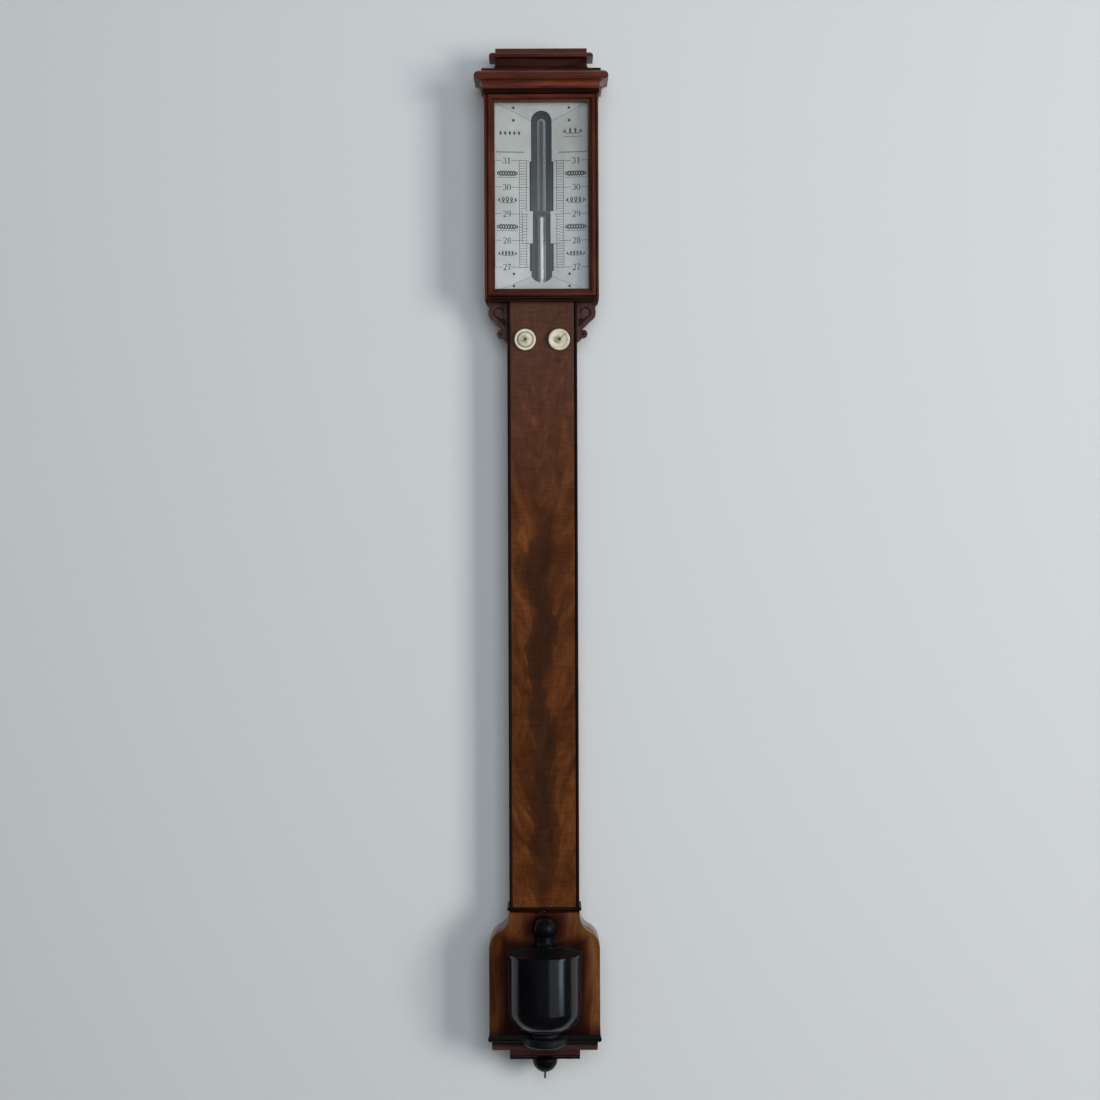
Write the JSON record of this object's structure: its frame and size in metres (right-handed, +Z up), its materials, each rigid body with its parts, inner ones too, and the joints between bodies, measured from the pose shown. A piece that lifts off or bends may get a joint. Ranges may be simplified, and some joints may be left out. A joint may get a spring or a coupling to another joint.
{
  "type": "stick barometer",
  "caption": "Wall-hung mercury stick barometer: glazed head with moulded cornice, keyed verniers on silvered plates, veneered trunk and a base with a half-turned cistern cover.",
  "frame": {"origin": "centre of the hanging hole, on the plane of the back that lies on the wall", "axes": "+Z up along the trunk, +Y into the wall, +X to the viewer's right; the front faces -Y"},
  "size_m": [0.127, 0.0781, 0.9829],
  "materials": {
    "mahogany": "french polished",
    "flame_veneer": "french polished flame figure",
    "base_veneer": "french polished",
    "carcass_wood": "planed, unpolished",
    "ebonised_wood": "ebonised and polished",
    "silvered_brass": "silvered, dull",
    "dulled_brass": "silvered, darkened",
    "brass": "brushed",
    "bone": "turned and polished",
    "door_glass": "clear",
    "tube_glass": "clear",
    "mercury": "liquid",
    "boxwood": "turned",
    "leather": "soft",
    "cork": "cut",
    "steel": "dark"
  },
  "bodies": {
    "case": {"backboard": "carcass_wood", "head_side_left": "mahogany", "head_side_right": "mahogany", "head_floor": "mahogany", "head_soffit": "mahogany", "frieze_moulding": "mahogany", "cornice_nosing": "mahogany", "cornice_neck": "mahogany", "cornice_cap": "mahogany", "register_bed": "carcass_wood", "tube_trough": "dulled_brass", "scale_plate_left": "silvered_brass", "scale_plate_right": "silvered_brass", "spandrel_plate_top": "silvered_brass", "spandrel_plate_foot": "silvered_brass", "plate_screws": "dulled_brass", "bracket_left": "mahogany", "bracket_right": "mahogany", "trunk_front": "flame_veneer", "trunk_bead_left": "ebonised_wood", "trunk_bead_right": "ebonised_wood", "trunk_foot_bead": "ebonised_wood", "key_bushes": "brass", "base_block": "base_veneer", "base_front": "base_veneer", "base_moulding_upper": "ebonised_wood", "base_moulding_lower": "mahogany", "base_foot_block": "mahogany", "base_boss": "ebonised_wood", "screw_bush": "brass", "glass_tube": "tube_glass", "mercury_column": "mercury", "tube_packing": "cork", "cistern_body": "boxwood", "cistern_cap": "boxwood", "cistern_mercury": "mercury", "leather_bag": "leather", "cistern_ring": "boxwood", "urn_cover": "ebonised_wood", "urn_finial": "ebonised_wood", "cover_pins": "brass", "hanging_plate": "brass", "hanging_screws": "brass"},
    "door": {"door_stile_left": "mahogany", "door_stile_right": "mahogany", "door_rail_top": "mahogany", "door_rail_foot": "mahogany", "door_glass": "door_glass", "glass_beads": "mahogany", "door_pins": "brass"},
    "left_vernier": {"vernier_left": "silvered_brass", "rack_left": "brass"},
    "right_vernier": {"vernier_right": "silvered_brass", "rack_right": "brass"},
    "left_key": {"key_disc_left": "bone", "key_arbor_left": "brass"},
    "right_key": {"key_disc_right": "bone", "key_arbor_right": "brass"},
    "screw_carriage": {"pusher_button": "boxwood"},
    "portable_screw": {"portable_screw": "steel"}
  },
  "joints": [
    {"name": "door_swing", "type": "hinge", "parent": "case", "child": "door", "pos_m": [-0.0488, -0.041, -0.083], "axis": [0, 0, -1], "range_deg": [0, 95]},
    {"name": "left_vernier_slide", "type": "slide", "parent": "case", "child": "left_vernier", "axis": [0, 0, 1], "range_m": [-0.0254, 0.05]},
    {"name": "right_vernier_slide", "type": "slide", "parent": "case", "child": "right_vernier", "axis": [0, 0, 1], "range_m": [-0.0254, 0.05]},
    {"name": "left_key_turn", "type": "hinge", "parent": "case", "child": "left_key", "pos_m": [-0.0162, -0.03, -0.2197], "axis": [0, 1, 0], "range_deg": [-955, 486]},
    {"name": "right_key_turn", "type": "hinge", "parent": "case", "child": "right_key", "pos_m": [0.0162, -0.03, -0.2197], "axis": [0, 1, 0], "range_deg": [-486, 955]},
    {"name": "screw_rise", "type": "slide", "parent": "case", "child": "screw_carriage", "axis": [0, 0, 1], "range_m": [0, 0.007], "deforming": ["leather_bag", "cistern_mercury"]},
    {"name": "screw_turn", "type": "hinge", "parent": "screw_carriage", "child": "portable_screw", "pos_m": [0, -0.0216, -0.86], "axis": [0, 0, 1], "range_deg": [0, 1681]}
  ],
  "couplings": [
    {"joint": "left_key_turn", "follows": "left_vernier_slide", "rad_per_m": -333.33},
    {"joint": "right_key_turn", "follows": "right_vernier_slide", "rad_per_m": 333.33},
    {"joint": "screw_turn", "follows": "screw_rise", "rad_per_m": 4188.8}
  ]
}
